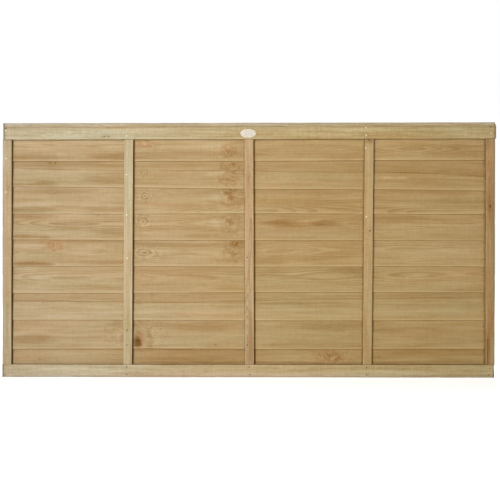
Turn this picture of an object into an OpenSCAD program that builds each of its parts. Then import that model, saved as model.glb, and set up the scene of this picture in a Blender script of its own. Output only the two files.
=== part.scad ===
// Overlap fence panel, made to stand between two posts.
// Nine thin sawn boards lap downwards like slates. A front and a back frame of rails
// and battens are nailed together through them, and a cap strip covers the top.
// Seen from the front, X runs to the right, Y runs into the panel and Z runs up.
// The left end is at x = 0, the back of the front frame at y = 0 and the foot at z = 0.

/* [Panel] */
// Length of the panel from post to post
panel_w = 1828; // [1500:1:1830]
// Height of the panel over its cap strip
panel_h = 945; // [900:1:980]

/* [Frames] */
// Thickness of every rail, stile and batten
frame_t = 18; // [15:1:22]
// Height of the top and bottom rails
rail_w = 47; // [38:1:50]
// Width of the end stiles and of the battens between the bays
batten_w = 33; // [28:1:38]
// Size of the eased arris along the outer edges
arris = 1.5; // [0.5:0.5:3]

/* [Lap boards] */
// Height of one board, of which the lap hides the upper part
board_w = 120; // [118:1:126]
// Thickness of one board
board_t = 5.5; // [4:0.5:7]
// Gap between the panel's foot and the lowest board
foot_gap = 5; // [2:1:10]
// Gap between the highest board and the cap strip, when it is laid true
head_gap = 6; // [5:1:12]
// Distance of the boards' ends from the panel's ends
board_inset = 3; // [1:1:6]
// How far a sawn lower edge strays from straight
edge_wander = 2; // [0.5:0.5:4]

/* [Cap strip] */
// Thickness of the cap strip
cap_t = 14; // [12:1:18]
// How far the cap strip stands out over each frame
cap_overhang = 2; // [1:0.5:6]
// Slant of the cap strip's right end, from its underside to its top
cap_skew = 6; // [1:1:8]

/* [Hidden] */
board_count = 9;
batten_count = 3;
lap_slack = 0.1;
edge_steps = 24;

// Ends of the long pieces, which were laid by eye against the stiles
top_rail_start = 4.5;
bottom_rail_short = 2.5;
bottom_rail_skew = 2;
cap_start = 5;
cap_end_past = 3.5;

// How far each board, from the lowest up, lies off its even place at its two ends
laid_left = [0, -3, 4, 6, 6, 5, 4, 5, 0];
laid_right = [0, -3, 4, 9, 4, 2, 0, -13, 0];

// How far each upright, from the left stile on, stands off its even place at foot and head
foot_off = [0, 2, 7, -6, -1];
head_off = [2, 7, 5, 2, 1];

board_pitch = (panel_h - cap_t - head_gap - board_w - foot_gap) / (board_count - 1);
board_l = panel_w - 2 * board_inset;
upright_h = panel_h - cap_t - 2 * rail_w;
bay_pitch = (panel_w - batten_w) / (batten_count + 1);

function left_z(n) = foot_gap + (n - 1) * board_pitch + laid_left[n - 1];
function right_z(n) = foot_gap + (n - 1) * board_pitch + laid_right[n - 1];

// The closest pair of boards sets the tilt at which all of them lie on each other
closest_lap = min([for (n = [1 : board_count - 1])
    min(left_z(n + 1) - left_z(n), right_z(n + 1) - right_z(n))]);
tilt = asin((board_t + lap_slack) / closest_lap);

// The boards bear on the front frame at their foot and on the back frame at their head
frame_gap = board_w * sin(tilt) + board_t * cos(tilt);

frame_colour = "burlywood";
board_colour = "tan";
cap_colour = "wheat";

SIDES = ["front", "back"];

// Cross-section of a sawn bar, square at the back and eased along its two front edges
module eased_section(w) {
    polygon([
        [0, 0],
        [0, arris - frame_t],
        [arris, -frame_t],
        [w - arris, -frame_t],
        [w, arris - frame_t],
        [w, 0]
    ]);
}

// A full-length rail that starts at x = start, with its lower edge at z = foot
module rail(start, length, foot) {
    color(frame_colour)
        translate([start, 0, foot + rail_w])
            rotate([0, 90, 0])
                linear_extrude(length)
                    eased_section(rail_w);
}

module top_rail() {
    rail(top_rail_start, panel_w, panel_h - cap_t - rail_w);
}

module bottom_rail() {
    cut_askew(panel_w - bottom_rail_short, 0, rail_w, bottom_rail_skew)
        rail(0, panel_w - bottom_rail_short, 0);
}

// Trims the right end of a bar that lies from z = foot to foot + height, on a slant
// that starts at x = end underneath and takes off the length skew at the top
module cut_askew(end, foot, height, skew) {
    difference() {
        children();
        translate([end, -panel_h / 2, foot])
            rotate([0, -atan(skew / height), 0])
                translate([0, 0, -height])
                    cube([rail_w, panel_h, 3 * height]);
    }
}

// Upright n, counted from the left stile as 0, cut to stand between the two rails
module upright(n) {
    foot_x = n * bay_pitch + foot_off[n];
    head_x = n * bay_pitch + head_off[n];
    lean = atan((head_x - foot_x) / upright_h);
    color(frame_colour)
        intersection() {
            translate([foot_x, 0, rail_w])
                rotate([0, lean, 0])
                    translate([0, 0, -batten_w])
                        linear_extrude(upright_h + 2 * batten_w)
                            eased_section(batten_w);
            translate([min(foot_x, head_x) - batten_w, -2 * frame_t, rail_w])
                cube([3 * batten_w, 3 * frame_t, upright_h]);
        }
}

module left_stile() {
    upright(0);
}

module batten(n) {
    upright(n);
}

module right_stile() {
    upright(batten_count + 1);
}

// Turns a piece of the front frame round to the back of the boards
module on_back() {
    translate([0, frame_gap, 0])
        mirror([0, 1, 0])
            children();
}

// How far the lower edge of board n is sawn away at the share s of its length
function sawn_off(n, s) = edge_wander / 2 * (1 + sin(360 * (0.37 * n + s * (1 + 0.3 * (n % 3)))));

// One board, flat, with its lower edge along X and its face at y = 0
module sawn_board(n) {
    lower_edge = [for (i = [0 : edge_steps])
        [board_l * i / edge_steps, sawn_off(n, i / edge_steps)]];
    translate([0, board_t, 0])
        rotate([90, 0, 0])
            linear_extrude(board_t)
                polygon(concat(lower_edge, [[board_l, board_w], [0, board_w]]));
}

// Board n leans back under the one above it, and drops from one end to the other
// by as much as it was laid out of level
module lap_board(n) {
    drop = asin((left_z(n) - right_z(n)) / board_l);
    color(board_colour)
        translate([board_inset, 0, left_z(n)])
            rotate([0, drop, 0])
                rotate([-tilt, 0, 0])
                    sawn_board(n);
}

// The cap strip lies flat on both top rails, with its upper edges eased
module cap_strip() {
    cap_w = frame_gap + 2 * (frame_t + cap_overhang);
    cap_end = panel_w + cap_end_past;
    color(cap_colour)
        cut_askew(cap_end, panel_h - cap_t, cap_t, cap_skew)
            translate([cap_start, -frame_t - cap_overhang, panel_h - cap_t])
                rotate([90, 0, 90])
                    linear_extrude(cap_end - cap_start)
                        polygon([
                            [0, 0],
                            [cap_w, 0],
                            [cap_w, cap_t - arris],
                            [cap_w - arris, cap_t],
                            [arris, cap_t],
                            [0, cap_t - arris]
                        ]);
}

cap_strip();

top_rail();  // front_top_rail
bottom_rail();  // front_bottom_rail
left_stile();  // front_left_stile
right_stile();  // front_right_stile
for (n = [1 : batten_count])
    batten(n);

for (n = [1 : board_count])
    lap_board(n);

on_back() top_rail();  // back_top_rail
on_back() bottom_rail();  // back_bottom_rail
on_back() left_stile();  // back_left_stile
on_back() right_stile();  // back_right_stile
for (n = [1 : batten_count])
    on_back() batten(n);
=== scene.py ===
import math

import bmesh
import bpy
import numpy as np
from mathutils import Matrix, Vector


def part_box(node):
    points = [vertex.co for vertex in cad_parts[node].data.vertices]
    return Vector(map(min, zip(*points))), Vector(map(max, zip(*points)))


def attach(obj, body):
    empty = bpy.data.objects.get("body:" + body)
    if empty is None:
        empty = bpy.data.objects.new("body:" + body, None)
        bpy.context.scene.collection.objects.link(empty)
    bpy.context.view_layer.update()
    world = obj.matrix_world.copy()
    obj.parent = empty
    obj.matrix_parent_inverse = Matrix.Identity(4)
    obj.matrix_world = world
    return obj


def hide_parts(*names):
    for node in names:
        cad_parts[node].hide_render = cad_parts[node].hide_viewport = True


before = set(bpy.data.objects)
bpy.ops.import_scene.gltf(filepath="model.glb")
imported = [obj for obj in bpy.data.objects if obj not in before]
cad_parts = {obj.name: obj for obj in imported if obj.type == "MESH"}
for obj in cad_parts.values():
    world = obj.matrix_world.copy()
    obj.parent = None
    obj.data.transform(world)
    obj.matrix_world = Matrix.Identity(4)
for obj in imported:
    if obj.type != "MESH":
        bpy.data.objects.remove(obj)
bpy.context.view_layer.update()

# Rails
# Four long bars of sawn softwood, 47 by 18 mm, pressure treated to a pale green tan. One runs along
# the head and one along the foot of each frame, over the ends of the uprights, and is nailed there.
RAIL_STEPS = 200
# Cells across a face and through its thickness
RAIL_CELLS = (9, 4)
# Rounding of the sawn ends, and how far in from the ends and the arrises the first lines of points lie
END_ROUND = 0.0005
END_RIM = 0.0028
EDGE_LOOP = 0.0015


def soft_noise(rng, rows, columns, row_step, column_step):
    """Smooth random heights from 0 to 1 on a grid, with one new value every so many rows and columns."""
    def spots(count, step):
        at = np.arange(count) / step
        whole = at.astype(int)
        part = at - whole
        return whole, part * part * (3 - 2 * part)

    row, down = spots(rows, row_step)
    column, over = spots(columns, column_step)
    values = rng.random((row[-1] + 2, column[-1] + 2))
    down, over = down[:, None], over[None, :]
    near = values[row][:, column] * (1 - over) + values[row][:, column + 1] * over
    far = values[row + 1][:, column] * (1 - over) + values[row + 1][:, column + 1] * over
    return near * (1 - down) + far * down


def spread(cells, width):
    """Shares of a face's width at which its lines of points lie, with a narrow cell at either edge."""
    edge = EDGE_LOOP / width
    return np.concatenate([[edge], np.linspace(edge, 1 - edge, cells)[1:]])


def placed(title, data):
    """A new object in the scene."""
    piece = bpy.data.objects.new(title, data)
    bpy.context.collection.objects.link(piece)
    return piece


def sawn_piece(name, low_front, high_front, low_back, rounds, cells, steps, seed, hollow=0.0003,
               wear=0.0007):
    """A long sawn piece, lofted through three of its corner lines, its arrises worn and its faces a
    little uneven, always inwards. It carries the attributes arris, low and cut for its material."""
    rng = np.random.default_rng(seed)
    length = np.linalg.norm(low_front[-1] - low_front[0])
    nick, rim = END_ROUND / length, END_RIM / length
    share = np.concatenate([[0, 0.3 * nick, nick], np.linspace(rim, 1 - rim, steps),
                            [1 - nick, 1 - 0.3 * nick, 1]])
    corner, high, back = [
        np.stack([np.interp(share, np.linspace(0, 1, len(line)), line[:, k]) for k in range(3)], 1)
        for line in (low_front, high_front, low_back)]
    width = np.linalg.norm(high - corner, axis=1)
    depth = np.linalg.norm(back - corner, axis=1)
    rise = (high - corner) / width[:, None]
    into = (back - corner) / depth[:, None]
    count = len(share)
    inset = np.zeros(count)
    inset[[0, -1]], inset[[1, -2]] = END_ROUND, 0.3 * END_ROUND

    # Outline of the section: four rounded corners, each followed by the face after it
    radii = [r * (0.75 + 0.7 * soft_noise(rng, count, 1, 6, 1)[:, 0]) for r in rounds]
    centres = [(radii[0], radii[0]), (width - radii[1], radii[1]),
               (width - radii[2], depth - radii[2]), (radii[3], depth - radii[3])]
    starts = (math.pi, 1.5 * math.pi, 0, math.pi / 2)
    arcs = []
    for r, middle, start in zip(radii, centres, starts):
        turn = np.linspace(start, start + math.pi / 2, 4)[None]
        arcs.append(np.stack([middle[0][:, None] + r[:, None] * np.cos(turn),
                              middle[1][:, None] + r[:, None] * np.sin(turn)], 2))
    outline, facing, arris, low = [], [], [], []
    for corner_number in range(4):
        arc, following = arcs[corner_number], arcs[(corner_number + 1) % 4]
        start = starts[corner_number]
        outline.append(arc)
        facing += [(math.cos(a), math.sin(a)) for a in np.linspace(start, start + math.pi / 2, 4)]
        arris += [1] * 4
        low += [1 if corner_number == 0 else 0] * 4
        across = corner_number % 2 == 0
        shares = spread(cells[0], width.mean()) if across else np.linspace(0, 1, cells[1] + 1)[1:-1]
        gap = following[:, :1] - arc[:, -1:]
        outline.append(arc[:, -1:] + gap * shares[None, :, None])
        facing += [((0, -1), (1, 0), (0, 1), (-1, 0))[corner_number]] * len(shares)
        arris += [0.4 if across and k in (0, len(shares) - 1) else 0 for k in range(len(shares))]
        low += [0.75 if corner_number == 0 and k == 0 else 0 for k in range(len(shares))]
    outline = np.concatenate(outline, 1)
    facing, arris, low = np.array(facing, float), np.array(arris, float), np.array(low, float)
    points = outline.shape[1]

    uneven = hollow * soft_noise(rng, count, points, 18, 6)
    bites = np.clip(soft_noise(rng, count, points, 3, 9) - 0.62, 0, 1) * 2.6 * wear
    sunk = uneven + bites * arris[None] + inset[:, None]
    outline = outline - facing[None] * sunk[..., None]
    place = (corner[:, None] + rise[:, None] * outline[..., :1] + into[:, None] * outline[..., 1:])

    grid = np.arange(count * points).reshape(count, points)
    following = np.roll(grid, -1, 1)
    sides = np.stack([grid[:-1], following[:-1], following[1:], grid[1:]], 2).reshape(-1, 4)
    mesh = bpy.data.meshes.new(name)
    mesh.from_pydata(place.reshape(-1, 3).tolist(), [], sides.tolist()
                     + [grid[0].tolist(), grid[-1][::-1].tolist()])
    made = bmesh.new()
    made.from_mesh(mesh)
    bmesh.ops.recalc_face_normals(made, faces=made.faces)
    made.to_mesh(mesh)
    made.free()
    mesh.polygons.foreach_set("use_smooth", [True] * len(sides) + [False] * 2)
    cut = np.zeros((count, points))
    cut[[0, 1, 2, -3, -2, -1]] = 1
    for title, values in (("arris", np.tile(arris, (count, 1))), ("low", np.tile(low, (count, 1))),
                          ("cut", cut)):
        mesh.attributes.new(title, "FLOAT", "POINT").data.foreach_set("value", values.ravel())
    return placed(name, mesh)


def bar_lines(node, along):
    """The low front, high front and low back corner lines of a bar's CAD node. Low is its foot if it
    lies along X (0), and its left side if it stands along Z (2)."""
    across = 2 - along
    points = np.array([v.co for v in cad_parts[node].data.vertices])
    lowest, highest = (np.array(side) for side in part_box(node))
    front, rear = (lowest[1], highest[1]) if node.startswith(("front", "cap")) else (highest[1], lowest[1])
    near_end, near_side = 0.006, 0.002
    lines = []
    for outermost in (np.min, np.max):
        line = []
        for end, pick in ((lowest, np.min), (highest, np.max)):
            there = points[abs(points[:, along] - end[along]) < near_end]
            side = outermost(there[:, across])
            spot = np.zeros(3)
            spot[across] = side
            spot[along] = pick(there[abs(there[:, across] - side) < near_side][:, along])
            spot[1] = front
            line.append(spot)
        lines.append(np.array(line))
    return lines[0], lines[1], lines[0] + np.array([0, rear - front, 0])


def paint(red, green, blue):
    """A colour as it shows on a screen, 0 to 255, in the linear values that a shader takes."""
    return tuple(c / 12.92 if c <= 0.04045 else ((c + 0.055) / 1.055) ** 2.4
                 for c in (red / 255, green / 255, blue / 255)) + (1,)


def add(tree, kind, *inputs, **settings):
    """Puts a node in the tree. A socket among the inputs is linked, any other value is set."""
    made = tree.nodes.new("ShaderNode" + kind)
    for setting, value in settings.items():
        setattr(made, setting, value)
    for socket, value in zip(made.inputs, inputs):
        if isinstance(value, bpy.types.NodeSocket):
            tree.links.new(value, socket)
        elif value is not None:
            socket.default_value = value
    return made


def maths(tree, operation, *terms, clamp=False):
    return add(tree, "Math", *terms, operation=operation, use_clamp=clamp).outputs[0]


def times(tree, first, second):
    return maths(tree, "MULTIPLY", first, second)


def times_plus(tree, value, factor, more):
    return maths(tree, "MULTIPLY_ADD", value, factor, more)


def plus(tree, first, second, clamp=False):
    return maths(tree, "ADD", first, second, clamp=clamp)


def minus(tree, first, second):
    return maths(tree, "SUBTRACT", first, second)


def vectors(tree, operation, *terms):
    made = add(tree, "VectorMath", *terms, operation=operation)
    return made.outputs["Value" if operation in ("DOT_PRODUCT", "LENGTH") else "Vector"]


def ease(tree, value, start, stop, low=0.0, high=1.0):
    """low below start, high above stop, and a soft step in between."""
    return add(tree, "MapRange", value, start, stop, low, high, interpolation_type="SMOOTHSTEP").outputs[0]


def blend(tree, share, first, second, how="MIX"):
    gap = [None] * 5
    return add(tree, "Mix", share, *gap, first, second, data_type="RGBA", blend_type=how).outputs[2]


def tinted(tree, share, color, tint):
    """The colour multiplied by a tint, as far as share says."""
    return blend(tree, share, color, blend(tree, 1.0, color, tint, "MULTIPLY"))


def noise(tree, place, cells, shift=(0, 0, 0), detail=2.0, curl=0.0):
    """Noise around 0.5, with so many cells a metre along, across and into the grain."""
    spot = vectors(tree, "MULTIPLY_ADD", place, cells, shift)
    made = add(tree, "TexNoise", spot, None, 1.0, detail, 0.55)
    made.inputs["Distortion"].default_value = curl
    return made.outputs[0]


def new_material(title):
    """An empty material, its node tree and its shader."""
    material = bpy.data.materials.new(title)
    material.use_nodes = True
    return material, material.node_tree, material.node_tree.nodes["Principled BSDF"]


def roughen(tree, shader, height, strength, depth):
    """Bumps a surface by a height from 0 to 1, which stands for so many metres."""
    bump = add(tree, "Bump", strength, depth)
    tree.links.new(height, bump.inputs["Height"])
    tree.links.new(bump.outputs[0], shader.inputs["Normal"])


def new_group(title, wants, gives):
    """An empty node group and its input and output sockets, whose names are given by their kinds."""
    tree = bpy.data.node_groups.new(title, "ShaderNodeTree")
    for way, kinds in (("INPUT", wants), ("OUTPUT", gives)):
        for kind, names in kinds.items():
            for name in names.split():
                tree.interface.new_socket(name, in_out=way, socket_type="NodeSocket" + kind)
    return tree, tree.nodes.new("NodeGroupInput").outputs, tree.nodes.new("NodeGroupOutput").inputs


def use(tree, group, **values):
    """Puts a node group in the tree and returns its outputs."""
    made = tree.nodes.new("ShaderNodeGroup")
    made.node_tree = group
    for name, value in values.items():
        if isinstance(value, bpy.types.NodeSocket):
            tree.links.new(value, made.inputs[name])
        else:
            made.inputs[name].default_value = value
    return made.outputs


# A knot: the grain parts and runs round it and the wood browns towards it. It shows as a solid dark
# core, as rings, or as a burr of curled grain
knot_group, given, result = new_group(
    "knot", {"Vector": "Place Centre", "Float": "Radius Reach Wobble Ringed Browning Burred Solid"},
    {"Float": "Shift Halo Knot Eye Burr"})
tree = knot_group
off = vectors(tree, "SUBTRACT", given["Place"], given["Centre"])
apart = add(tree, "SeparateXYZ", off).outputs
drawn_in = maths(tree, "DIVIDE", apart[0], given["Reach"])
flat = add(tree, "CombineXYZ", drawn_in, apart[1], 0.0).outputs[0]
distance = vectors(tree, "LENGTH", flat)
wobbly = times(tree, distance, times_plus(tree, given["Wobble"], 1.2, 0.4))
in_radii = maths(tree, "DIVIDE", wobbly, given["Radius"])
squared = times_plus(tree, in_radii, in_radii, 0.02)
parting = maths(tree, "MINIMUM", maths(tree, "DIVIDE", 1.0, squared), 1.0)
tree.links.new(times(tree, apart[1], parting), result["Shift"])
fading = maths(tree, "POWER", maths(tree, "DIVIDE", in_radii, 2.6), 3.0)
halo = maths(tree, "DIVIDE", 1.0, plus(tree, fading, 1.0))
tree.links.new(times(tree, halo, given["Browning"]), result["Halo"])
burred = times(tree, ease(tree, in_radii, 0.5, 3.2, 1.0, 0.0), given["Burred"])
tree.links.new(burred, result["Burr"])
core = times(tree, ease(tree, in_radii, 0.3, 1.15, 1.0, 0.0), given["Solid"])
tree.links.new(core, result["Knot"])
turns = maths(tree, "COSINE", times(tree, in_radii, 2 * math.pi / 2.5))
turns = ease(tree, turns, -0.5, 0.95, -0.35, 1.0)
near = times(tree, ease(tree, in_radii, 3.0, 7.5, 1.0, 0.0), given["Ringed"])
tree.links.new(times(tree, turns, near), result["Eye"])

# A stain: a long soft patch along the grain
stain_group, given, result = new_group(
    "stain", {"Vector": "Place Centre Size", "Float": "Wobble Strength"}, {"Float": "Mask"})
tree = stain_group
off = vectors(tree, "DIVIDE", vectors(tree, "SUBTRACT", given["Place"], given["Centre"]), given["Size"])
reach = vectors(tree, "DOT_PRODUCT", off, off)
soft = plus(tree, reach, times_plus(tree, given["Wobble"], 4.0, -2.0))
soft = ease(tree, soft, -0.3, 3.2, 1.0, 0.0)
tree.links.new(times(tree, soft, given["Strength"]), result["Mask"])

# Sawn softwood: growth rings round a wandering pith, long streaks, fibres and faint saw marks
wood_group, given, result = new_group(
    "sawn softwood",
    {"Vector": "Place Pith", "Color": "Sapwood Latewood Heartwood Knotwood",
     "Float": "Seed Halo Knot Eye Burr Curl Grain Spacing Heart Rings Brown Green Pink Pale"},
    {"Color": "Color", "Float": "Height Roughness"})
tree = wood_group
seed_shift = vectors(tree, "SCALE", (7.13, 3.71, 5.39))
scaled = seed_shift.node
tree.links.new(given["Seed"], scaled.inputs["Scale"])
parts = add(tree, "SeparateXYZ", given["Place"]).outputs


def grain_noise(cells, detail, shift=None, place=None):
    """Noise with so many cells a metre, which the piece's seed moves. shift parts it from the others."""
    moved = vectors(tree, "ADD", seed_shift, shift) if shift else seed_shift
    return noise(tree, place or given["Place"], cells, moved, detail)


sway = grain_noise((1.1, 2, 2), 1.0)
shiver = grain_noise((9, 16, 16), 2.0)
wander = times_plus(tree, shiver, 0.007, -0.0035)
wander = plus(tree, times_plus(tree, sway, 0.05, -0.025), wander)
pith = add(tree, "SeparateXYZ", given["Pith"]).outputs
up = minus(tree, plus(tree, parts[1], wander), pith[0])
up = minus(tree, up, times(tree, parts[0], pith[2]))
dip = grain_noise((2.3, 0, 0), 1.0)
deep = minus(tree, times_plus(tree, dip, 0.045, parts[2]), pith[1])
age = maths(tree, "SQRT", times_plus(tree, up, up, times(tree, deep, deep)))
years = maths(tree, "FRACT", maths(tree, "DIVIDE", age, given["Spacing"]))
late = times(tree, ease(tree, years, 0.3, 0.88), ease(tree, years, 0.9, 1.0, 1.0, 0.0))
strong = grain_noise((1.6, 22, 22), 2.0)
late = times(tree, late, ease(tree, strong, 0.35, 0.68, 0.45, 1.3))
late = times(tree, late, given["Rings"])
color = blend(tree, late, given["Sapwood"], given["Latewood"])
inner = ease(tree, minus(tree, age, given["Heart"]), -0.006, 0.0015, 1.0, 0.0)
past = minus(tree, age, given["Heart"])
line = times(tree, ease(tree, past, -0.004, -0.0012), ease(tree, past, 0.0002, 0.0022, 1.0, 0.0))
brown = times_plus(tree, given["Brown"], 0.65, times(tree, inner, 0.22))
brown = times_plus(tree, line, ease(tree, strong, 0.35, 0.6, 0.2, 0.85), brown)
brown = times_plus(tree, given["Halo"], 0.36, brown)
brown = times_plus(tree, given["Burr"], ease(tree, given["Curl"], 0.36, 0.62, 0.5, 0.05), brown)
color = blend(tree, maths(tree, "MINIMUM", brown, 1.0), color, given["Heartwood"])
cast = grain_noise((1.3, 26, 26), 2.0, (11, 0, 0))
green = plus(tree, given["Green"], ease(tree, cast, 0.5, 0.72, 0.0, 0.45), clamp=True)
color = tinted(tree, green, color, (0.945, 1.0, 0.99, 1))
pink = plus(tree, given["Pink"], ease(tree, cast, 0.28, 0.5, 0.22, 0.0), clamp=True)
color = tinted(tree, pink, color, (1.06, 0.955, 0.93, 1))
streak = grain_noise((5, 185, 185), 3.0)
mottle = grain_noise((55, 120, 120), 3.0, (0, 0, 57))
upright = grain_noise((330, 14, 14), 1.0, (41, 0, 0))
grown = add(tree, "CombineXYZ", parts[0], age, 0.0).outputs[0]
band = grain_noise((1.0, 62, 0), 1.5, (0, 23, 0), grown)
drift = grain_noise((6, 44, 44), 2.0, (0, 0, 83))
fibre = grain_noise((90, 1100, 1100), 2.0)
speck = grain_noise((240, 420, 420), 1.0)
teeth = times_plus(tree, parts[1], 210.0, times(tree, parts[0], 1150.0))
teeth = maths(tree, "SINE", times_plus(tree, shiver, 9.0, teeth))
cut_deep = ease(tree, grain_noise((5, 7, 7), 1.0, (0, 0, 31)), 0.42, 0.66)
teeth = times(tree, teeth, cut_deep)


def weighed(tree, pairs):
    """The sum of some noises, each taken from 0.5 and given its weight."""
    total = 0.0
    for value, weight in pairs:
        total = times_plus(tree, minus(tree, value, 0.5), weight, total)
    return total


# Fine grain lightens and darkens all colours alike, while broad patches turn brown as they darken
fine = weighed(tree, ((streak, 0.44), (mottle, 0.2), (upright, 0.15), (fibre, 0.2), (speck, 0.12)))
fine = times(tree, times_plus(tree, teeth, 0.012, fine), given["Grain"])
fine = minus(tree, fine, times(tree, given["Eye"], 0.26))
broad = times_plus(tree, given["Pale"], 0.16, weighed(tree, ((band, 0.34), (drift, 0.4))))
broad = plus(tree, broad, times(tree, given["Burr"], times_plus(tree, given["Curl"], 0.85, -0.42)))
lit = (1, 1, 1)
for change, weights in ((fine, (0.83, 1.0, 1.43)), (broad, (0.6, 1.0, 1.72))):
    alike = add(tree, "CombineXYZ", change, change, change).outputs[0]
    lit = vectors(tree, "MULTIPLY_ADD", alike, weights, lit)
lit = vectors(tree, "MULTIPLY", color, vectors(tree, "MAXIMUM", lit, (0.1, 0.1, 0.05)))
color = blend(tree, maths(tree, "MINIMUM", given["Knot"], 1.0), lit, given["Knotwood"])
tree.links.new(color, result["Color"])
height = times_plus(tree, fibre, 0.9, times(tree, late, 0.35))
height = times_plus(tree, teeth, 0.22, height)
height = times_plus(tree, given["Knot"], 0.5, height)
tree.links.new(times_plus(tree, speck, 0.5, height), result["Height"])
dull = times_plus(tree, streak, 0.25, 0.68)
tree.links.new(minus(tree, dull, times(tree, given["Knot"], 0.2)), result["Roughness"])

NO_HEART = 0.001
# How far each kind of knot shows its rings, browns the wood round it, is burred, and has a solid core
KNOT_KINDS = {"pin": (0.1, 0.3, 0.0, 0.4), "dead": (0.2, 0.5, 0.0, 0.85), "ringed": (1.0, 0.2, 0.0, 0.2),
              "burr": (0.35, 0.4, 0.85, 0.0), "branch": (0.6, 0.3, 0.1, 0.8),
              "swirl": (0.15, 0.2, 0.0, 0.0)}


def softwood(title, axes, origin, seed, tone, knots, stains, pith=(60, 45, 0), spacing=3.4, heart=None,
             rings=0.6, grain=1.0, worn=0.35, soiled=(0.0, 0.0), pale_edge=0.0, painted_light_falloff=1.0, dress=None):
    """Material of one sawn piece. axes point along, across and into it, and origin is where the
    distances start. Each kind of knot has a list of (along, across, radius, reach) and each kind of
    stain one of (along, across, length, height, strength), in millimetres. tone holds the sapwood,
    latewood, heartwood and knot colours. dress adds marks of this kind of piece, painted shade among them."""
    material, tree, shader = new_material(title)
    spot = add(tree, "TexCoord").outputs["Object"]
    local = vectors(tree, "SUBTRACT", spot, tuple(origin))
    parts = [vectors(tree, "DOT_PRODUCT", local, axis) for axis in axes]
    place = add(tree, "CombineXYZ", *parts).outputs[0]
    wobble = noise(tree, place, (70, 110, 60), (seed, seed, seed), 1.0)
    broken = noise(tree, place, (50, 75, 60), (seed + 9, 0, seed), 1.0)
    curl = noise(tree, place, (62, 80, 62), (seed + 5, 5, seed), 2.0, 0.9)
    sums = {"Shift": 0.0, "Halo": 0.0, "Knot": 0.0, "Eye": 0.0, "Burr": 0.0}
    for kind, sizes in knots.items():
        ringed, browning, burred, solid = KNOT_KINDS[kind]
        for along, across, radius, reach in sizes:
            made = use(tree, knot_group, Place=place, Centre=(along / 1000, across / 1000, 0),
                       Wobble=wobble, Radius=radius / 1000, Reach=reach, Ringed=ringed, Browning=browning,
                       Burred=burred, Solid=solid)
            sums = {name: plus(tree, made[name], total) for name, total in sums.items()}
    sums["Eye"] = times(tree, sums["Eye"], ease(tree, broken, 0.34, 0.6, 0.2, 1.15))
    moved = add(tree, "CombineXYZ", 0.0, sums.pop("Shift"), 0.0).outputs[0]
    bent = vectors(tree, "SUBTRACT", place, moved)
    patchy = noise(tree, place, (14, 130, 60), (0, seed, 0), 2.0)
    for kind, sizes in stains.items():
        for along, across, length, height, strength in sizes:
            made = use(tree, stain_group, Place=bent, Centre=(along / 1000, across / 1000, 0),
                       Wobble=patchy, Size=(length / 1000, height / 1000, 1.0), Strength=strength)
            sums[kind] = plus(tree, made["Mask"], sums[kind]) if kind in sums else made["Mask"]
    sapwood, latewood, heartwood, knotwood = [paint(*color) for color in tone]
    wood = use(tree, wood_group, Place=bent, Seed=float(seed), Curl=curl, Grain=grain,
               Spacing=spacing / 1000, Pith=(pith[0] / 1000, pith[1] / 1000, pith[2] / 1000),
               Heart=heart / 1000 if heart else NO_HEART, Rings=rings, Sapwood=sapwood, Latewood=latewood,
               Heartwood=heartwood, Knotwood=knotwood, **sums)
    color = wood["Color"]
    arris = add(tree, "Attribute", attribute_name="arris").outputs["Fac"]
    patchy_wear = ease(tree, patchy, 0.35, 0.65, 0.4, 1.0)
    color = blend(tree, times(tree, arris, times(tree, patchy_wear, worn)), color, paint(214, 196, 158))
    low = add(tree, "Attribute", attribute_name="low").outputs["Fac"]
    if pale_edge:
        color = blend(tree, times(tree, low, pale_edge), color, paint(226, 204, 158))
    for share, edges in zip(soiled, (low, minus(tree, arris, low))):
        if share:
            color = blend(tree, times(tree, edges, share), color, paint(142, 131, 110))
    # Painted light: the colour shifts from bluer at the left end to warmer, with less green and blue, at
    # the right, standing in for the lamp's light changing across the panel
    if painted_light_falloff:
        along = add(tree, "SeparateXYZ", spot).outputs[0]
        turned = blend(tree, ease(tree, along, -0.1, 1.5), (1.0, 1.02, 1.13, 1), (1.0, 0.955, 0.84, 1))
        color = tinted(tree, painted_light_falloff, color, turned)
    if dress:
        color = dress(tree, color, spot, place, patchy)
    cut = add(tree, "Attribute", attribute_name="cut").outputs["Fac"]
    color = blend(tree, times(tree, cut, 0.85), color, paint(104, 92, 72))
    tree.links.new(color, shader.inputs["Base Color"])
    tree.links.new(wood["Roughness"], shader.inputs["Roughness"])
    roughen(tree, shader, wood["Height"], 0.55, 0.0006)
    shader.inputs["Specular IOR Level"].default_value = 0.03
    return material


ALONG_X = ((1, 0, 0), (0, 0, 1), (0, 1, 0))
PALE_GREEN_TAN = ((202, 185, 147), (170, 149, 105), (176, 146, 100), (132, 100, 60))


def bar(node, title, along, steps, seed, material, rounds):
    """Lofts a bar in place of its CAD node."""
    piece = sawn_piece(title, *bar_lines(node, along), rounds, RAIL_CELLS, steps, seed)
    piece.data.materials.append(material)
    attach(piece, "root")
    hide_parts(node)
    return piece


def painted_shade_sides(low, high):
    """Sides painted darker towards the boards: painted shade for the gap beside them."""
    def dress(tree, color, spot, place, patchy):
        apart = add(tree, "SeparateXYZ", place).outputs
        side = ease(tree, apart[1], 0.010, 0.020, low, high)
        inner = ease(tree, apart[2], 0.003, 0.012)
        # Painted shade: deep in the sides the colour is tinted warm and darkened towards dark brown
        color = tinted(tree, inner, color, (1.0, 0.97, 0.62, 1))
        return blend(tree, times(tree, inner, side), color, paint(50, 30, 4))
    return dress


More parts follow.
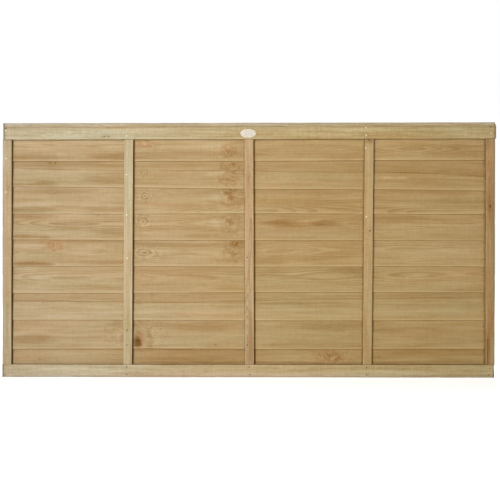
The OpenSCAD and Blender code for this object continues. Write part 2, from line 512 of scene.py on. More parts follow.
def dark_ends(node, then=None):
    """Ends of a long piece, darker for a few millimetres in from the cut."""
    def dress(tree, color, spot, place, patchy):
        if then:
            color = then(tree, color, spot, place, patchy)
        along = add(tree, "SeparateXYZ", spot).outputs[0]
        first, last = (end.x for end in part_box(node))
        left = ease(tree, along, first + 0.0042, first + 0.0065, 0.5, 0.0)
        seep = ease(tree, along, first + 0.005, first + 0.02, 0.16, 0.0)
        right = ease(tree, along, last - 0.0088, last - 0.0055, 0.0, 0.42)
        share = plus(tree, plus(tree, left, seep), right)
        return blend(tree, share, color, paint(98, 84, 60))
    return dress


def foot_bloom(tree, color, spot, place, patchy):
    """The bottom rails: painted shade on their top beside the boards, and a grey bloom on their lower half.
    """
    across = add(tree, "SeparateXYZ", place).outputs[1]
    bloom = times(tree, ease(tree, across, 0.0, 0.024, 1.0, 0.0), ease(tree, patchy, 0.35, 0.6, 0.6, 1.0))
    color = tinted(tree, bloom, color, (1.03, 1.06, 1.24, 1))
    # Painted shade on the deep part of the rail, darkest on its top face next to the boards
    return painted_shade_sides(0.0, 0.6)(tree, color, spot, place, patchy)


# Distances along from the panel's left end and up from the rail's lower edge, as in the rails below
RAILS = {
    "front_top_rail": dict(
        pith=(-30, 34, 3),
        knots=dict(
            dead=[(382, 11, 2.4, 3.0), (398, 10, 2.2, 2.4)],
            swirl=[(240, 26, 5, 3.0), (175, 16, 5, 2.6)]),
        stains=dict(
            Brown=[(330, 46, 330, 3, 1.2), (120, 43, 330, 6, 0.35), (780, 36, 260, 12, 0.2),
                (640, 14, 200, 8, 0.25), (1790, 24, 40, 20, 0.3)],
            Pale=[(1120, 11, 300, 12, -0.9), (1500, 20, 120, 26, -0.7), (240, 18, 380, 26, 0.8)],
            Green=[(330, 20, 160, 14, 0.6), (1560, 30, 160, 12, 0.5)],
            Pink=[(1500, 12, 240, 9, 0.5)])),
    "front_bottom_rail": dict(
        pith=(84, 40, 4),
        knots=dict(pin=[(760, 22, 2, 2.4), (1310, 30, 2, 2.2)]),
        stains=dict(
            Pink=[(560, 8, 180, 8, 0.5), (1640, 16, 120, 12, 0.5), (900, 24, 260, 26, 0.9)],
            Green=[(850, 24, 200, 14, 0.5)],
            Pale=[(900, 22, 420, 26, 1.1), (150, 24, 200, 24, 0.4), (1600, 20, 240, 22, 0.6),
                (260, 26, 160, 12, 0.3)],
            Brown=[(20, 26, 40, 16, 0.25), (1500, 40, 260, 7, 0.3)])),
    "back_top_rail": dict(
        pith=(-34, 30, -4),
        knots=dict(pin=[(620, 18, 6, 1.5)], ringed=[(1290, 30, 5, 1.7)]),
        stains=dict(Green=[(500, 20, 300, 14, 0.5)], Brown=[(1400, 36, 260, 9, 0.4)])),
    "back_bottom_rail": dict(
        pith=(90, 20, 5),
        knots=dict(pin=[(330, 26, 6, 1.4), (1120, 14, 5, 1.8)]),
        stains=dict(Pink=[(1200, 20, 240, 12, 0.5)], Brown=[(400, 10, 220, 8, 0.4)])),
}
for number, (node, rail) in enumerate(RAILS.items()):
    back = node.startswith("back")
    bottom = "bottom" in node
    origin = (0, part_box(node)[1 if back else 0].y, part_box(node)[0].z)
    axes = ((1, 0, 0), (0, 0, 1), (0, -1 if back else 1, 0))
    material = softwood(node + " softwood", axes, origin, 21 + 3 * number, PALE_GREEN_TAN, spacing=3.4,
                        rings=1.1, grain=1.9, soiled=(0.6, 0.1) if bottom else (0.0, 0.3),
                        dress=dark_ends(node, foot_bloom if bottom else None), **rail)
    bar(node, node + "_sawn", 0, RAIL_STEPS, 100 + number, material, (0.0008, 0.0005, 0.0005, 0.0007))

# Uprights
# End stiles and battens of the same softwood, 33 by 18 mm, three battens between the bays. They are
# cut to stand between the rails, none of them quite plumb, and nailed through the boards.
UPRIGHT_STEPS = 96
# Knots and stains lie up from the foot and across from the left side. The shade shares say how far the left
# and the right side are painted darker towards the boards, as painted shade for the gap there, and soiled
# how far the left and the right arris are soiled
UPRIGHTS = {
    "left_stile": dict(
        tone=((196, 178, 148), (174, 150, 114), (180, 142, 106), (146, 108, 72)),
        pith=(-14, 30, 4), shades=(0.2, 0.76), soiled=(0.25, 0.0),
        knots=dict(swirl=[(240, 20, 5, 2.2), (50, 14, 4, 2)], pin=[(660, 24, 2.0, 2.5)]),
        stains=dict(
            Pink=[(420, 16, 160, 10, 0.7), (640, 14, 90, 10, 0.6)],
            Brown=[(660, 22, 30, 9, 0.3)],
            Green=[(140, 8, 120, 9, 0.5)])),
    "batten_1": dict(
        tone=((203, 185, 152), (184, 165, 126), (188, 162, 124), (146, 108, 72)),
        pith=(50, 26, -6), shades=(0.3, 0.92),
        knots=dict(pin=[(610, 20, 2, 3)]),
        stains=dict(
            Green=[(690, 16, 160, 16, 0.7), (120, 16, 90, 14, 0.4)],
            Pink=[(350, 14, 140, 12, 0.4)])),
    "batten_2": dict(
        tone=((196, 169, 130), (172, 142, 102), (168, 134, 94), (130, 96, 60)),
        pith=(14, 34, 8), shades=(0.7, 0.86),
        knots=dict(pin=[(690, 14, 2.2, 6), (500, 22, 2, 3)]),
        stains=dict(Brown=[(700, 14, 60, 5, 0.5), (85, 21, 85, 7, 1.3)], Pink=[(560, 16, 200, 12, 0.5)])),
    "batten_3": dict(
        tone=((196, 166, 118), (174, 142, 94), (172, 134, 86), (122, 88, 50)),
        pith=(-22, 22, -5), shades=(0.42, 0.3),
        knots=dict(dead=[(497, 22, 4.6, 1.3), (834, 16, 9, 0.5)]),
        stains=dict(
            Green=[(760, 24, 90, 9, 0.8)],
            Brown=[(830, 18, 9, 12, 1.2)],
            Pink=[(560, 12, 120, 9, 0.4)])),
    "right_stile": dict(
        tone=((188, 159, 114), (168, 134, 88), (166, 118, 76), (108, 70, 42)),
        pith=(12, 36, 6), shades=(0.0, 0.2), soiled=(0.0, 0.85),
        knots=dict(dead=[(586, 15, 5.6, 1.2), (91, 8, 5.0, 1.0), (718, 31, 3, 4)], pin=[(318, 31, 3, 5)]),
        stains=dict(
            Brown=[(620, 18, 110, 10, 0.6), (240, 12, 150, 9, 0.5), (60, 10, 70, 4, 0.6)],
            Green=[(420, 31, 420, 7, 2.0)],
            Pink=[(760, 12, 90, 10, 0.8), (120, 18, 120, 7, 0.9)])),
}


def edge_bloom(tree, color, spot, place, patchy):
    """The right stile's outer edge, gone grey, and near its foot grey-green beside a dark streak."""
    along, across = add(tree, "SeparateXYZ", place).outputs[:2]
    near_foot = ease(tree, along, 0.075, 0.13, 1.0, 0.0)
    color = blend(tree, ease(tree, across, 0.025, 0.0285, 0.0, 0.6), color, paint(144, 127, 94))
    bloom = times(tree, ease(tree, across, 0.0155, 0.0205, 0.0, 0.85), near_foot)
    color = blend(tree, bloom, color, paint(170, 156, 117))
    streak = times(tree, ease(tree, across, 0.001, 0.004, 0.0, 0.6),
                   ease(tree, across, 0.0075, 0.0105, 1.0, 0.0))
    color = blend(tree, times(tree, streak, near_foot), color, paint(104, 76, 42))
    # Painted shade on its sides towards the boards, as on the other uprights
    return painted_shade_sides(*UPRIGHTS["right_stile"]["shades"])(tree, color, spot, place, patchy)


for side_number, side in enumerate(("front", "back")):
    for number, (name, upright) in enumerate(UPRIGHTS.items()):
        node = side + "_" + name
        low_front, high_front, low_back = bar_lines(node, 2)
        lean = (low_front[1][0] - low_front[0][0]) / (low_front[1][2] - low_front[0][2])
        axes = ((0, 0, 1), (1, 0, -lean), (0, 1 if side == "front" else -1, 0))
        upright = dict(upright)
        shades = upright.pop("shades")
        if side == "back":
            shades = (0.4, 0.4)
            upright["knots"] = dict(pin=[(300 + 90 * number, 14, 4, 1.8)])
            upright["stains"] = dict(Green=[(500, 16, 220, 12, 0.5)])
        dress = edge_bloom if node == "front_right_stile" else painted_shade_sides(*shades)
        seed = 51 + 5 * number + 31 * side_number
        material = softwood(node + " softwood", axes, low_front[0], seed, spacing=2.9, rings=0.8, grain=1.3,
                            painted_light_falloff=0.0, dress=dress, **upright)
        bar(node, node + "_sawn", 2, UPRIGHT_STEPS, 140 + number + 10 * side_number, material,
            (0.0011, 0.0011, 0.0006, 0.0006))

# Lap boards
# Nine thin boards sawn from softwood logs, 120 mm high and 5.5 mm thick, each leaning back under the
# one above it. Their lower edges are left as the saw cut them, and knots show right through them.
BOARD_STEPS = 220
BOARD_CELLS = (17, 2)
BOARD_ROUNDS = (0.0010, 0.0006, 0.0006, 0.0008)
WARM_TAN = ((193, 168, 126), (172, 143, 100), (160, 126, 78), (118, 82, 36))
GOLDEN_TAN = ((188, 161, 116), (166, 135, 88), (156, 121, 72), (110, 76, 40))


def board_lines(node):
    """The low front, high front and low back corner lines of a lap board's CAD node."""
    points = np.unique(np.round([v.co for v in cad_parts[node].data.vertices], 6), axis=0)
    middle = (points[:, 2].min() + points[:, 2].max()) / 2
    foot = points[points[:, 2] < middle]
    foot = foot[np.argsort(foot[:, 0], kind="stable")].reshape(-1, 2, 3)
    foot = np.array([pair[np.argsort(pair[:, 1])] for pair in foot])
    head = points[points[:, 2] > middle]
    head = head[np.argsort(head[:, 0], kind="stable")].reshape(-1, 2, 3)
    head = np.array([pair[np.argsort(pair[:, 1])] for pair in head])
    return foot[:, 0], head[:, 0], foot[:, 1]


# Beside an upright the boards get painted shade: a thin dark line to its left, and to its right a browner
# painted shadow, cast by the lamp, which reaches this far out from each
PAINTED_SHADOW_WIDTHS = {"left_stile": 0.0, "batten_1": 0.0035, "batten_2": 0.006, "batten_3": 0.0045, "right_stile": 0.0}
shade_beside_uprights, given, result = new_group("painted shade beside the uprights", {"Vector": "Place"}, {"Float": "Left Right"})
sides = {"Left": 0.0, "Right": 0.0}
for name in UPRIGHTS:
    low_front, high_front, low_back = bar_lines("front_" + name, 2)
    lean = (low_front[1][0] - low_front[0][0]) / (low_front[1][2] - low_front[0][2])
    from_foot = vectors(shade_beside_uprights, "SUBTRACT", given["Place"], tuple(low_front[0]))
    past_left = vectors(shade_beside_uprights, "DOT_PRODUCT", from_foot, (1, 0, -lean))
    past_right = minus(shade_beside_uprights, past_left, high_front[0][0] - low_front[0][0])
    near_left = times(shade_beside_uprights, ease(shade_beside_uprights, past_left, -0.0055, -0.0015),
                      ease(shade_beside_uprights, past_left, 0.0, 0.01, 1.0, 0.0))
    near_right = times(shade_beside_uprights, ease(shade_beside_uprights, past_right, -0.01, 0.0),
                       ease(shade_beside_uprights, past_right, PAINTED_SHADOW_WIDTHS[name], PAINTED_SHADOW_WIDTHS[name] + 0.0015, 1.0, 0.0))
    sides = {"Left": plus(shade_beside_uprights, near_left, sides["Left"]),
             "Right": plus(shade_beside_uprights, near_right, sides["Right"])}
for name, total in sides.items():
    shade_beside_uprights.links.new(total, result[name])


def board_painted_shade(tree, color, spot, place, patchy):
    """Painted shade in a thin line under the board above, and beside the uprights painted shade to the left
    and a painted shadow to the right.
    """
    below = add(tree, "Attribute", attribute_name="lap").outputs["Fac"]
    # Painted shade under the lap of the board above
    painted_shade = times(tree, ease(tree, below, -0.0042, -0.0004), ease(tree, patchy, 0.3, 0.6, 0.25, 0.5))
    color = blend(tree, painted_shade, color, paint(96, 68, 30))
    # Painted shade to the left of each upright
    seams = use(tree, shade_beside_uprights, Place=spot)
    painted_shade = times(tree, seams["Left"], ease(tree, patchy, 0.35, 0.6, 0.12, 0.42))
    color = blend(tree, painted_shade, color, paint(96, 66, 28))
    # Painted shadow: a brown tint where the lamp's shadow falls to the right of each upright
    return tinted(tree, seams["Right"], color, (0.8, 0.65, 0.4, 1))


# Knots and stains of the boards, from the lowest up: along from the left end, up from the lower edge
BOARDS = {
    1: dict(
        tone=GOLDEN_TAN, pith=(130, 60, 4),
        knots=dict(
            pin=[(134, 58, 3.4, 2), (1405, 68, 3.4, 1.3), (1669, 43, 3.2, 2)],
            burr=[(1208, 70, 12, 1.5), (1246, 58, 9, 1.2)]),
        stains=dict(
            Brown=[(900, 97, 1200, 5, 0.7), (700, 70, 200, 30, 0.4), (980, 46, 470, 4, 0.9),
                (1180, 92, 60, 3, 0.8)],
            Pink=[(60, 66, 110, 9, 0.6), (1225, 62, 60, 14, 0.7)],
            Pale=[(240, 64, 320, 14, 0.7), (1120, 66, 220, 34, 0.6), (660, 64, 200, 26, -0.5),
                (1600, 64, 200, 30, -0.3)])),
    2: dict(
        tone=WARM_TAN, pith=(-30, 60, -6),
        knots=dict(
            pin=[(260, 64, 2.0, 1.5), (504, 30, 6, 1.6), (514, 20, 6, 1.4), (795, 16, 3.2, 2.4),
                (1009, 15, 2, 2)],
            branch=[(500, 27, 25, 0.78)],
            swirl=[(1250, 84, 8, 1.6)]),
        stains=dict(
            Brown=[(104, 38, 70, 12, 1.0), (506, 34, 12, 16, 0.8), (1442, 66, 50, 7, 0.5),
                (1190, 12, 150, 9, 0.35), (700, 88, 220, 12, 0.5), (1200, 88, 140, 12, 0.4)],
            Green=[(390, 86, 80, 12, 0.9), (1150, 60, 220, 50, 0.7), (760, 30, 120, 18, 0.6),
                (1700, 30, 160, 20, 0.6)],
            Pink=[(512, 26, 12, 16, 1.8), (90, 84, 60, 12, 0.4)],
            Pale=[(1570, 60, 200, 50, -0.3)])),
    3: dict(
        tone=WARM_TAN, pith=(150, 44, 2), heart=80,
        knots=dict(
            pin=[(145, 66, 3.0, 2.6), (118, 98, 2, 1.5), (555, 96, 3.0, 3.0), (1532, 80, 2, 1.5),
                (1736, 68, 2, 1.5)],
            swirl=[(505, 69, 6, 1.5)]),
        stains=dict(
            Brown=[(1080, 62, 160, 4, 0.8), (1700, 90, 130, 10, 0.3)],
            Pink=[(760, 22, 110, 9, 0.6)],
            Green=[(520, 34, 120, 20, 0.5), (1600, 60, 160, 30, 0.5), (1680, 48, 120, 14, 0.7),
                (1150, 60, 220, 50, 0.8)],
            Pale=[(250, 34, 420, 22, 0.7), (1600, 40, 240, 24, 0.5), (700, 36, 200, 20, 0.4)])),
    4: dict(
        tone=WARM_TAN, pith=(50, 58, 9),
        knots=dict(
            pin=[(330, 68, 2, 1.6), (751, 28, 2, 1.6), (1596, 63, 2, 2)],
            swirl=[(510, 63, 7, 1.2), (506, 22, 6, 1.3)]),
        stains=dict(
            Pale=[(78, 62, 80, 7, 0.9), (1560, 54, 200, 36, 0.35), (960, 56, 420, 44, -0.45)],
            Green=[(200, 40, 190, 16, 0.6), (950, 60, 120, 24, 0.4), (1150, 60, 220, 50, 0.6)],
            Brown=[(1302, 84, 60, 10, 0.9), (1745, 8, 90, 6, 0.5), (700, 80, 160, 16, 0.3)],
            Pink=[(1700, 70, 80, 16, 0.4), (505, 40, 30, 34, 0.5)])),
    5: dict(
        tone=WARM_TAN, pith=(60, 54, -6),
        knots=dict(
            burr=[(190, 82, 8, 1.3), (857, 54, 13, 1.1), (870, 86, 7, 1.3)],
            ringed=[(527, 52, 5.0, 2.0)],
            pin=[(862, 46, 3, 1.5)]),
        stains=dict(
            Brown=[(88, 9, 44, 8, 1.6), (158, 8, 24, 7, 1.5), (405, 14, 80, 8, 0.8), (660, 78, 200, 9, 0.6),
                (985, 24, 60, 14, 0.5), (1270, 52, 60, 4, 0.5), (240, 92, 300, 8, 0.5)],
            Green=[(140, 40, 80, 14, 0.8)],
            Pale=[(70, 78, 60, 10, 0.7), (1580, 56, 200, 34, 0.6), (660, 56, 130, 34, 0.5),
                (1140, 50, 220, 40, -0.35)],
            Pink=[(190, 80, 26, 14, 1.7)])),
    6: dict(
        tone=WARM_TAN, pith=(56, 40, 3), rings=0.9,
        knots=dict(
            pin=[(352, 91, 3.2, 2), (836, 76, 3, 2)],
            ringed=[(522, 68, 4.6, 1.5)],
            burr=[(850, 62, 14, 1.1)]),
        stains=dict(
            Brown=[(90, 88, 80, 8, 0.9), (58, 9, 44, 8, 1.2), (154, 6, 24, 6, 1.1), (410, 22, 70, 15, 0.65),
                (1050, 61, 60, 10, 1.3), (1205, 61, 46, 9, 1.3), (1440, 76, 90, 14, 0.4),
                (1140, 84, 200, 10, 0.3)],
            Green=[(200, 36, 200, 18, 0.8)],
            Pink=[(1070, 58, 80, 10, 0.6)],
            Pale=[(1660, 44, 150, 18, 0.5), (800, 64, 26, 12, 0.9), (1500, 30, 120, 20, 0.5)])),
    7: dict(
        tone=WARM_TAN, pith=(-10, 56, 5),
        knots=dict(
            swirl=[(180, 88, 6, 1.4)],
            ringed=[(528, 66, 4.4, 1.2)],
            burr=[(855, 58, 14, 1.1), (845, 88, 8, 1.2)],
            pin=[(838, 78, 3, 2)]),
        stains=dict(
            Green=[(95, 14, 80, 12, 0.9), (1690, 50, 110, 14, 0.7)],
            Brown=[(95, 12, 80, 10, 0.7), (405, 18, 80, 9, 0.75), (1140, 84, 200, 14, 0.35),
                (1560, 80, 150, 12, 0.45), (700, 82, 140, 12, 0.35), (190, 88, 120, 9, 0.7)],
            Pink=[(600, 37, 70, 5, 0.7), (860, 52, 34, 20, 0.5)],
            Pale=[(803, 66, 30, 12, 1.1), (1140, 50, 230, 40, -0.5)])),
    8: dict(
        tone=WARM_TAN, pith=(130, 36, -3), heart=62,
        knots=dict(
            dead=[(172, 91, 3.0, 1.3), (192, 91, 3.2, 1.1)],
            ringed=[(527, 58, 3.6, 1.3)],
            burr=[(850, 90, 11, 1.3), (845, 36, 10, 1.3)],
            pin=[(836, 36, 3, 1.6)]),
        stains=dict(
            Brown=[(62, 5, 34, 6, 1.0), (150, 10, 40, 9, 1.0), (405, 36, 70, 24, 0.5),
                (1600, 34, 200, 7, 0.4), (190, 88, 180, 12, 0.4)],
            Pale=[(803, 54, 40, 8, 1.0), (790, 66, 50, 16, 0.6), (1440, 46, 18, 4, 1.2),
                (1485, 46, 18, 4, 1.2), (260, 60, 220, 16, 0.4), (660, 60, 150, 40, -0.3),
                (1590, 60, 190, 40, -0.35)],
            Green=[(1190, 56, 110, 16, 0.6), (180, 30, 160, 20, 0.6)],
            Pink=[(1006, 8, 14, 8, 0.9), (840, 40, 26, 20, 0.5)])),
    9: dict(
        tone=WARM_TAN, pith=(60, 44, -8),
        knots=dict(burr=[(528, 76, 9, 1.25), (842, 36, 9, 1.2)], pin=[(842, 30, 3, 1.6)]),
        stains=dict(
            Brown=[(90, 12, 90, 10, 1.0), (410, 15, 70, 12, 0.7), (657, 20, 200, 13, 0.5),
                (868, 36, 30, 26, 0.2), (1290, 10, 80, 9, 0.5), (1743, 30, 110, 32, 0.5),
                (1708, 50, 60, 6, 0.5), (1180, 40, 160, 26, 0.35)],
            Pale=[(800, 52, 40, 12, 1.0), (700, 60, 140, 18, 0.4), (330, 60, 140, 20, 0.4)],
            Pink=[(120, 56, 90, 14, 0.3), (528, 76, 34, 14, 1.0), (838, 36, 22, 12, 0.8),
                (1440, 44, 120, 20, 0.3)])),
}
for number, board in BOARDS.items():
    node = "lap_board_%d" % number
    low_front, high_front, low_back = board_lines(node)
    drop = (low_front[-1][2] - low_front[0][2]) / (low_front[-1][0] - low_front[0][0])
    axes = ((1, 0, 0), (-drop, 0, 1), (0, 1, 0))
    material = softwood(node + " softwood", axes, (0, 0, low_front[0][2]), 7 * number, spacing=4.4,
                        pale_edge=0.34, worn=0.2, dress=board_painted_shade, **board)
    piece = sawn_piece(node + "_sawn", low_front, high_front, low_back, BOARD_ROUNDS, BOARD_CELLS,
                       BOARD_STEPS, 200 + number, hollow=0.0004, wear=0.0005)
    if number < len(BOARDS):
        over = board_lines("lap_board_%d" % (number + 1))[0]
    else:
        over = np.array([[0, 0, 1], [1, 0, 1]])
    place = np.array([v.co for v in piece.data.vertices])
    past_lap = place[:, 2] - np.interp(place[:, 0], over[:, 0], over[:, 2])
    piece.data.attributes.new("lap", "FLOAT", "POINT").data.foreach_set("value", past_lap)
    piece.data.materials.append(material)
    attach(piece, "root")
    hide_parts(node)

# Cap strip
# A flat strip of the same softwood, 14 mm thick, over both frames and the boards' heads. It is nailed
# down into the rails and its upper arrises are weathered grey.
cap = "cap_strip"
GREYED_TAN = ((198, 184, 154), (170, 153, 120), (176, 152, 116), (126, 102, 70))
cap_material = softwood("cap strip softwood", ALONG_X, (0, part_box(cap)[0].y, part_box(cap)[0].z), 91,
                        GREYED_TAN, knots=dict(pin=[(420, 30, 5, 1.6), (1180, 12, 4, 2)]),
                        stains=dict(Pink=[(1650, 8, 120, 8, 0.5)], Brown=[(900, 8, 500, 6, 0.3)],
                                    Pale=[(1120, 8, 240, 10, 0.8)]), pith=(24, 70, 5), spacing=3.2,
                        rings=0.8, grain=1.5, worn=0.1, soiled=(0.1, 0.6), dress=dark_ends(cap))
bar(cap, "cap_strip_sawn", 0, RAIL_STEPS, 180, cap_material, (0.0004, 0.0014, 0.0014, 0.0004))

# Nails
# Round wire nails, driven through the frames and boards. Some are bright galvanised heads a little
# proud of the wood, others have gone dark and sit just under it.
FRONT_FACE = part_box("front_top_rail")[0].y
CAP_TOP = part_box(cap)[1].z
# How deep the heads' undersides lie below the face of the rails and of the cap strip
SEAT = 0.0001
CAP_SEAT = 0.0009
# How far a head's dome falls from its middle to its rim, as a share of its height
DOMING = 0.42
# Places in millimetres: along from the left end and up from the foot, or on the cap strip into it
BRIGHT_NAILS = [(14.3, 918.0), (14.3, 814.0), (15.4, 689.0), (464.6, 897.0), (464.2, 752.6), (464.6, 602.5),
                (466.0, 442.4), (1352.8, 925.4), (1353.0, 896.4), (1351.3, 850.3), (1353.5, 595.1),
                (1813.9, 903.5)]
DARK_NAILS = [(14.3, 924.4), (11.3, 10.0), (465.7, 174.2), (465.7, 120.3), (464.6, 38.2), (465.0, 10.7),
              (912.2, 445.4), (912.2, 120.0), (919.6, 38.6), (922.2, 10.7), (1354.3, 36.7), (1354.3, 9.6),
              (1813.1, 927.0), (1807.9, 35.3), (1805.7, 10.4)]
CAP_NAILS = [(20.0, 2.0), (466.0, 11.0), (914.0, 5.0), (1355.0, 9.0), (1812.0, 6.0)]


def nail_tree():
    """Geometry Nodes: a worn round nail head on every point, each turned and tipped a little."""
    tree = bpy.data.node_groups.new("nail heads", "GeometryNodeTree")
    wants = {"Points": ("Geometry", None), "Head radius": ("Float", 0.0026),
             "Stands proud": ("Float", 0.0008), "Lean": ("Float", 0.09), "Turned to": ("Vector", (0, 0, 0)),
             "Seed": ("Int", 1), "Metal": ("Material", None)}
    for name, (kind, value) in wants.items():
        socket = tree.interface.new_socket(name, in_out="INPUT", socket_type="NodeSocket" + kind)
        if value is not None:
            socket.default_value = value
    tree.interface.new_socket("Heads", in_out="OUTPUT", socket_type="NodeSocketGeometry")
    given = tree.nodes.new("NodeGroupInput").outputs
    result = tree.nodes.new("NodeGroupOutput").inputs

    def put(kind, links, **settings):
        made = tree.nodes.new(kind)
        for setting, value in settings.items():
            setattr(made, setting, value)
        for name, value in links.items():
            if isinstance(value, bpy.types.NodeSocket):
                tree.links.new(value, made.inputs[name])
            else:
                made.inputs[name].default_value = value
        return made

    def sums(operation, *terms):
        return put("ShaderNodeMath", dict(enumerate(terms)), operation=operation).outputs[0]

    def alike(value):
        return put("ShaderNodeCombineXYZ", {0: value, 1: value, 2: value}).outputs[0]

    radius = given["Head radius"]
    proud = given["Stands proud"]
    shank = put("GeometryNodeMeshCone", {"Vertices": 20, "Side Segments": 3, "Fill Segments": 3,
                                         "Radius Top": radius, "Radius Bottom": radius, "Depth": proud})
    position = put("GeometryNodeInputPosition", {}).outputs[0]
    split = put("ShaderNodeSeparateXYZ", {0: position}).outputs
    out_squared = sums("MULTIPLY_ADD", split[1], split[1], sums("MULTIPLY", split[0], split[0]))
    share = sums("DIVIDE", out_squared, sums("MULTIPLY", radius, radius))
    fall = sums("MULTIPLY", sums("MULTIPLY", share, proud), -DOMING)
    upper = put("FunctionNodeCompare", {0: split[2], 1: sums("MULTIPLY", proud, 0.9)},
                data_type="FLOAT", operation="GREATER_THAN").outputs[0]
    sunk = put("ShaderNodeCombineXYZ", {2: fall}).outputs[0]
    domed = put("GeometryNodeSetPosition", {"Geometry": shank.outputs["Mesh"], "Selection": upper,
                                            "Offset": sunk}).outputs[0]
    tip = put("FunctionNodeRandomValue", {0: alike(sums("MULTIPLY", given["Lean"], -1.0)),
                                          1: alike(given["Lean"]), "Seed": given["Seed"]},
              data_type="FLOAT_VECTOR").outputs[0]
    turned = put("ShaderNodeVectorMath", {0: given["Turned to"], 1: tip}, operation="ADD").outputs[0]
    heads = put("GeometryNodeInstanceOnPoints", {"Points": given["Points"], "Instance": domed,
                                                 "Rotation": turned}).outputs[0]
    real = put("GeometryNodeRealizeInstances", {"Geometry": heads}).outputs[0]
    coated = put("GeometryNodeSetMaterial", {"Geometry": real, "Material": given["Metal"]}).outputs[0]
    tree.links.new(coated, result["Heads"])
    return tree


def nail_metal(title, base, blot, metallic, roughness):
    """Zinc or rusted steel: mottled colour, with a dull grain."""
    material, tree, shader = new_material(title)
    spot = add(tree, "TexCoord").outputs["Object"]
    mottle = noise(tree, spot, (900, 900, 900), detail=3.0)
    tree.links.new(blend(tree, ease(tree, mottle, 0.38, 0.66), base, blot), shader.inputs["Base Color"])
    tree.links.new(times_plus(tree, mottle, 0.3, roughness), shader.inputs["Roughness"])
    roughen(tree, shader, mottle, 0.4, 0.0002)
    shader.inputs["Metallic"].default_value = metallic
    return material


def drive_nails(title, points, radius, proud, turned_to, metal, seed):
    """Makes one object of nail heads at these points and turns it into a plain mesh."""
    mesh = bpy.data.meshes.new(title)
    mesh.from_pydata(points, [], [])
    seat = placed(title, mesh)
    modifier = seat.modifiers.new("nail heads", "NODES")
    modifier.node_group = nails_tree
    sockets = {item.name: item.identifier for item in nails_tree.interface.items_tree
               if item.in_out == "INPUT"}
    for name, value in (("Head radius", radius), ("Stands proud", proud), ("Turned to", turned_to),
                        ("Seed", seed), ("Metal", metal)):
        modifier[sockets[name]] = value
    bpy.context.view_layer.update()
    plain = bpy.data.meshes.new_from_object(seat.evaluated_get(bpy.context.evaluated_depsgraph_get()))
    seat.modifiers.clear()
    seat.data = plain
    plain.name = title
    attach(seat, "root")
    return seat


nails_tree = nail_tree()
bright = nail_metal("galvanised nail head", paint(250, 244, 224), paint(214, 206, 184), 0.1, 0.4)
dark = nail_metal("stained nail head", paint(70, 58, 44), paint(38, 32, 26), 0.3, 0.6)
facing_front = (math.pi / 2, 0, 0)
for title, places, radius, proud, metal, seed in (
        ("front_bright_nails", BRIGHT_NAILS, 0.0027, 0.0009, bright, 3),
        ("front_dark_nails", DARK_NAILS, 0.0022, 0.0005, dark, 5)):
    points = [(x / 1000, FRONT_FACE + SEAT, z / 1000) for x, z in places]
    drive_nails(title, points, radius, proud, facing_front, metal, seed)
points = [(x / 1000, y / 1000, CAP_TOP - CAP_SEAT) for x, y in CAP_NAILS]
drive_nails("cap_nails", points, 0.0026, 0.0007, (0, 0, 0), bright, 9)

# Oval plate
# A small moulded plate of white plastic, pinned to the middle of the top rail through two holes. It
# has a raised rim round a shallow plain field, and is left bare.
PLATE_CENTRE = (0.916, 0.905)
PLATE_HALF = (0.0287, 0.0159)
PLATE_TURNS = 72
PIN_FROM_CENTRE = 0.019
# How far the plate's middle and the pins' undersides stand over the rail
PLATE_CROWN = 0.00112
PIN_SEAT = 0.0009
# Rings of the plate from its back edge to its middle: how far in from the outline, and how far proud
PLATE_RINGS = [(0.0, 0.0), (0.0, 0.0008), (0.0002, 0.00125), (0.0006, 0.00155), (0.0012, 0.00165),
               (0.0018, 0.0016), (0.0023, 0.0013), (0.0027, 0.00105), (0.0034, 0.00098), (0.0055, 0.001),
               (0.0085, 0.00105), (0.0115, 0.0011)]
mesh = bpy.data.meshes.new("oval_plate")
made = bmesh.new()
rings = []
for inward, proud in PLATE_RINGS:
    rings.append([made.verts.new((
        PLATE_CENTRE[0] + (PLATE_HALF[0] - inward) * math.cos(turn), FRONT_FACE - proud,
        PLATE_CENTRE[1] + (PLATE_HALF[1] - inward) * math.sin(turn)))
        for turn in (2 * math.pi * k / PLATE_TURNS for k in range(PLATE_TURNS))])
for outer, inner in zip(rings, rings[1:]):
    for k in range(PLATE_TURNS):
        made.faces.new((outer[k], outer[(k + 1) % PLATE_TURNS], inner[(k + 1) % PLATE_TURNS], inner[k]))
made.faces.new(rings[0])
crown = made.verts.new((PLATE_CENTRE[0], FRONT_FACE - PLATE_CROWN, PLATE_CENTRE[1]))
for k in range(PLATE_TURNS):
    made.faces.new((rings[-1][k], rings[-1][(k + 1) % PLATE_TURNS], crown))
bmesh.ops.recalc_face_normals(made, faces=made.faces)
for face in made.faces:
    face.smooth = len(face.verts) < PLATE_TURNS
made.to_mesh(mesh)
made.free()
plate = placed("oval_plate", mesh)
plate_material, tree, shader = new_material("white plastic")
spot = add(tree, "TexCoord").outputs["Object"]
grime = noise(tree, spot, (160, 160, 160), detail=3.0)
out = vectors(tree, "SUBTRACT", spot, (PLATE_CENTRE[0], FRONT_FACE, PLATE_CENTRE[1]))
out = vectors(tree, "LENGTH", vectors(tree, "MULTIPLY", out, (1 / PLATE_HALF[0], 0, 1 / PLATE_HALF[1])))
color = blend(tree, ease(tree, out, 0.78, 0.88), paint(222, 212, 200), paint(238, 230, 208))
color = blend(tree, ease(tree, grime, 0.4, 0.75), color, paint(196, 186, 170))
tree.links.new(color, shader.inputs["Base Color"])
tree.links.new(times_plus(tree, grime, 0.25, 0.3), shader.inputs["Roughness"])
roughen(tree, shader, noise(tree, spot, (1500, 1500, 1500), detail=2.0), 0.25, 0.0002)
plate.data.materials.append(plate_material)
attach(plate, "root")
points = [(PLATE_CENTRE[0] + side * PIN_FROM_CENTRE, FRONT_FACE - PIN_SEAT, PLATE_CENTRE[1])
          for side in (-1, 1)]
drive_nails("plate_pins", points, 0.0016, 0.0006, facing_front, bright, 13)

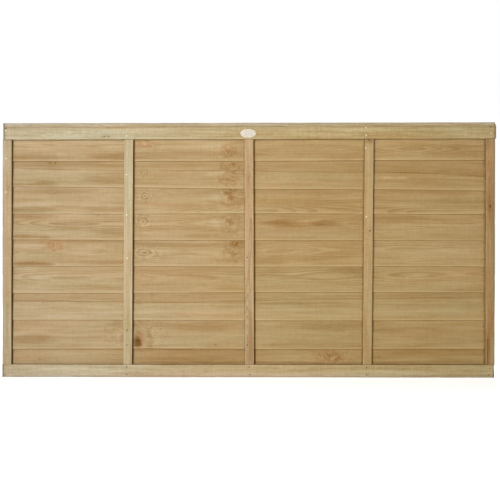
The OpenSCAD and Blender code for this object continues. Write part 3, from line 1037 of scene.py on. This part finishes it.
# Studio
# The panel stands on a plain white floor in front of a white ground, with one broad soft lamp to the
# left of the camera, a weak one near the floor, one behind the panel and a little even light all round.
AIM = Vector((0.9229, FRONT_FACE, 0.4725))
CAMERA_RIGHT = 0.0304
CAMERA_AWAY = 2.6
FOCAL_PIXELS = 701.2
PICTURE_PIXELS = 500
CAMERA_ROLL = -0.04
SENSOR = 36.0


def seen_directly(tree):
    """1 where the camera sees a surface straight on, in gloss or through glass, and 0 for its light."""
    path = add(tree, "LightPath").outputs
    seen = maths(tree, "MAXIMUM", path["Is Camera Ray"], path["Is Glossy Ray"])
    return maths(tree, "MAXIMUM", seen, path["Is Transmission Ray"])


floor_mesh = bpy.data.meshes.new("floor")
floor_mesh.from_pydata([(-9, -9, -0.0003), (11, -9, -0.0003), (11, 11, -0.0003), (-9, 11, -0.0003)], [],
                       [(0, 1, 2, 3)])
floor = placed("floor", floor_mesh)
floor_material, tree, shader = new_material("white floor")
shader.inputs["Base Color"].default_value = (0.86, 0.86, 0.86, 1)
shader.inputs["Roughness"].default_value = 0.9
shader.inputs["Specular IOR Level"].default_value = 0.1
shader.inputs["Emission Color"].default_value = (1, 1, 1, 1)
spot = add(tree, "TexCoord").outputs["Object"]
away = vectors(tree, "LENGTH", vectors(tree, "SUBTRACT", spot, (0.9, 0, 0)))
glow = times(tree, seen_directly(tree), ease(tree, away, 1.2, 2.6, 0.74, 1.0))
tree.links.new(glow, shader.inputs["Emission Strength"])
floor.data.materials.append(floor_material)

world = bpy.data.worlds.new("white ground")
bpy.context.scene.world = world
world.use_nodes = True
tree = world.node_tree
tree.nodes.clear()
even_light = add(tree, "Background", (1.0, 0.96, 0.88, 1), 0.05).outputs[0]
white_ground = add(tree, "Background", (1.0, 1.0, 1.0, 1), 1.0).outputs[0]
mixed = add(tree, "MixShader", seen_directly(tree), even_light, white_ground).outputs[0]
tree.links.new(mixed, add(tree, "OutputWorld").inputs[0])


def soft_lamp(title, place, aim, size, watts, color):
    lamp = bpy.data.lights.new(title, "AREA")
    lamp.shape, lamp.size, lamp.size_y = "RECTANGLE", *size
    lamp.energy, lamp.color = watts, color
    stand = placed(title, lamp)
    stand.location = place
    stand.rotation_euler = (Vector(aim) - Vector(place)).to_track_quat("-Z", "Y").to_euler()


soft_lamp("key lamp", (0.0, -3.3, 1.08), (0.8, 0, 0.45), (0.45, 0.8), 68.5, (1.0, 0.985, 0.96))
soft_lamp("over the cap", (0.92, 0.3, 2.1), (0.92, 0.03, 0.94), (2.4, 0.4), 8, (1.0, 0.985, 0.96))
soft_lamp("low fill", (0.7, -2.4, 0.12), (0.8, 0, 0.8), (1.6, 0.2), 12, (1.0, 0.97, 0.92))
soft_lamp("lamp behind", (2.0, 3.1, 3.3), (0.9, 0, 0.5), (1.6, 1.6), 150, (1, 1, 1))

camera = placed("camera", bpy.data.cameras.new("camera"))
camera.data.sensor_width = SENSOR
camera.data.lens = SENSOR * FOCAL_PIXELS / PICTURE_PIXELS
camera.location = AIM + Vector((CAMERA_RIGHT, -CAMERA_AWAY, 0))
sight = (AIM - camera.location).to_track_quat("-Z", "Y").to_matrix().to_4x4()
roll = Matrix.Rotation(math.radians(CAMERA_ROLL), 4, "Z")
camera.matrix_world = Matrix.Translation(camera.location) @ sight @ roll
bpy.context.scene.camera = camera
bpy.context.scene.view_settings.view_transform = "Standard"
